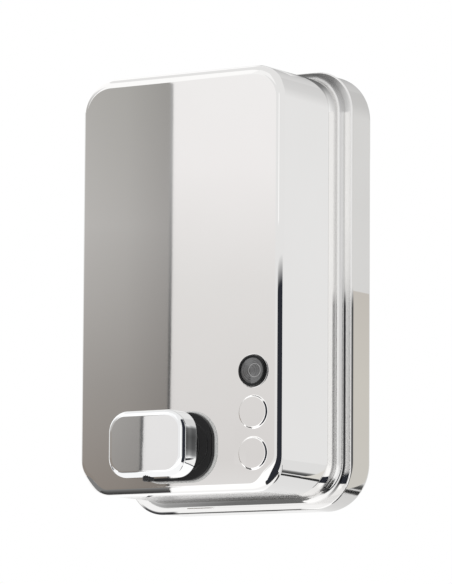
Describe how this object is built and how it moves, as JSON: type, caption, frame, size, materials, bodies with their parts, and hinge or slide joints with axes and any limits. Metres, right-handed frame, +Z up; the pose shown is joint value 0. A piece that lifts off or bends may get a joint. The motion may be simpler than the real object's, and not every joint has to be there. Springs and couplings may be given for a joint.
{
  "type": "soap dispenser",
  "caption": "Wall-mounted steel soap dispenser: deep rounded tank, push button pump with nozzle below, round level window, hinged lockable filler lid and hanging plate.",
  "frame": {"origin": "middle of the wall plate's screw holes, on the wall plane", "axes": "+Z up, +Y into the wall, the front faces -Y, +X to the right seen from the front"},
  "size_m": [0.1218, 0.1, 0.2049],
  "materials": {
    "polished_steel": "mirror-polished stainless sheet",
    "tray_steel": "stainless sheet, polished, a little softer than the front",
    "chrome_plate": "bright chrome plating",
    "plated_sheet": "zinc-plated sheet",
    "bright_steel": "turned steel",
    "spring_steel": "drawn spring wire",
    "brass_core": "turned brass",
    "black_plastic": "moulded black plastic",
    "white_plastic": "moulded natural plastic",
    "pale_rubber": "pale grey silicone",
    "black_rubber": "black rubber",
    "window_lens": "smoked clear plastic lens"
  },
  "bodies": {
    "tank": {"front_shell": "polished_steel", "rear_tray": "tray_steel", "seam_gasket": "black_rubber", "hanger_rail": "plated_sheet", "wall_plate": "plated_sheet", "wall_pad": "black_rubber", "sight_bezel": "black_plastic", "sight_lens": "window_lens", "sight_gasket": "black_rubber", "sight_nut": "black_plastic", "pump_base": "black_plastic", "pump_pad": "pale_rubber", "pump_washer": "black_rubber", "pump_nut": "black_plastic", "pump_cylinder": "white_plastic", "rod_seal": "black_rubber", "dip_tube": "white_plastic", "valve_cage": "white_plastic", "return_spring": "spring_steel", "hinge_bracket": "tray_steel", "hinge_pin": "bright_steel"},
    "button": {"button_cap": "chrome_plate", "button_core": "black_plastic", "plunger": "black_plastic", "piston_seal": "black_rubber", "plunger_pin": "bright_steel", "nozzle": "black_plastic", "drip_valve": "black_rubber"},
    "ball": {"check_ball": "bright_steel"},
    "lid": {"filler_lid": "polished_steel", "lid_seal": "black_rubber", "lock_housing": "bright_steel", "lock_nut": "bright_steel"},
    "lock": {"lock_core": "brass_core", "lock_cam": "bright_steel", "cam_screw": "bright_steel"}
  },
  "joints": [
    {"name": "button_press", "type": "slide", "parent": "tank", "child": "button", "axis": [0, 1, 0], "range_m": [0, 0.0095], "stiffness_N_per_m": 500, "springref_m": -0.008, "deforming": ["return_spring"]},
    {"name": "ball_lift", "type": "slide", "parent": "tank", "child": "ball", "axis": [0, -1, 0], "range_m": [0, 0.002]},
    {"name": "lid_hinge", "type": "hinge", "parent": "tank", "child": "lid", "pos_m": [0, -0.0285, 0.0997], "axis": [-1, 0, 0], "range_deg": [0, 100]},
    {"name": "lock_turn", "type": "hinge", "parent": "lid", "child": "lock", "pos_m": [0, -0.046, 0.096], "axis": [0, 0, -1], "range_deg": [0, 90]}
  ]
}
